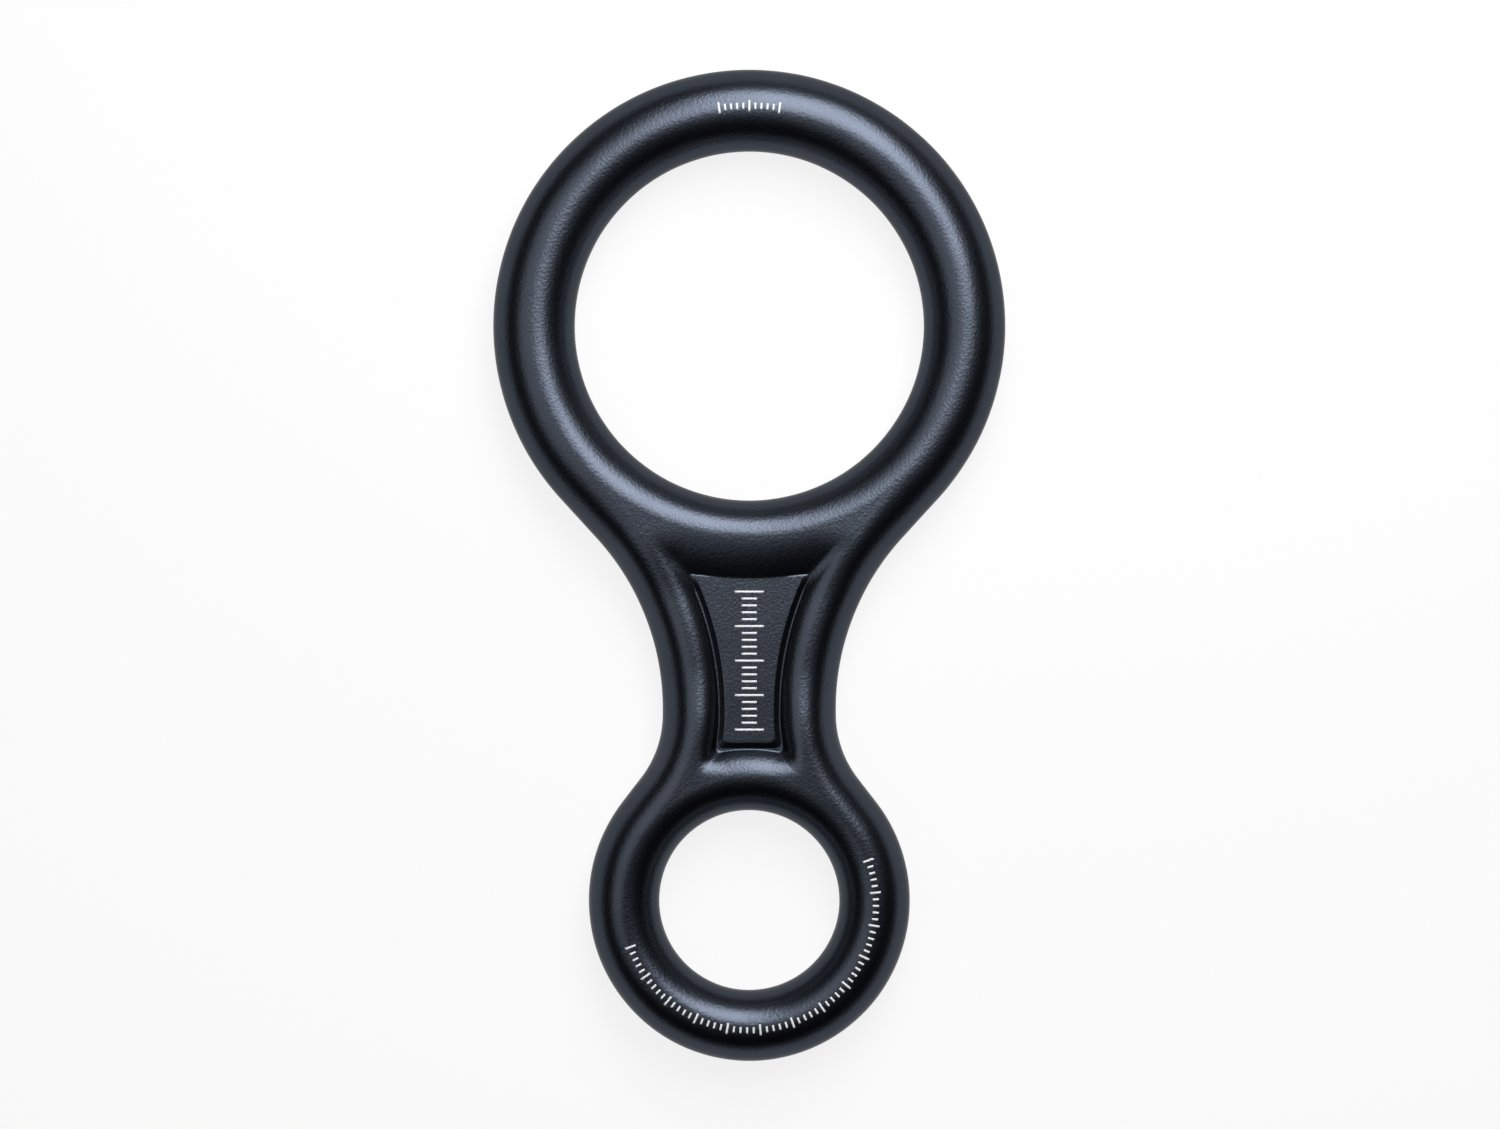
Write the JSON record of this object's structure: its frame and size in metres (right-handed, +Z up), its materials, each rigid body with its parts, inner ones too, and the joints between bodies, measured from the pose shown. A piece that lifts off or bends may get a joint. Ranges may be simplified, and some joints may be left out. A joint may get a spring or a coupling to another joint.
{
  "type": "figure eight descender",
  "caption": "Forged figure eight descender: a large rope eye and a small karabiner eye joined by a waisted, ribbed neck with a flat pad on each face.",
  "frame": {"origin": "centre of the body's length and width, on the surface that the body lies flat on", "axes": "+Z up through the body's thickness, +Y along its length from the small eye to the large eye, +X across it"},
  "size_m": [0.0748, 0.1448, 0.0119],
  "materials": {
    "anodised_aluminium": "satin blue-black anodising over a fine shot-blasted grain",
    "white_marking": "thin matt white surface marks"
  },
  "bodies": {
    "root": {"forged_body": "anodised_aluminium"}
  },
  "joints": []
}
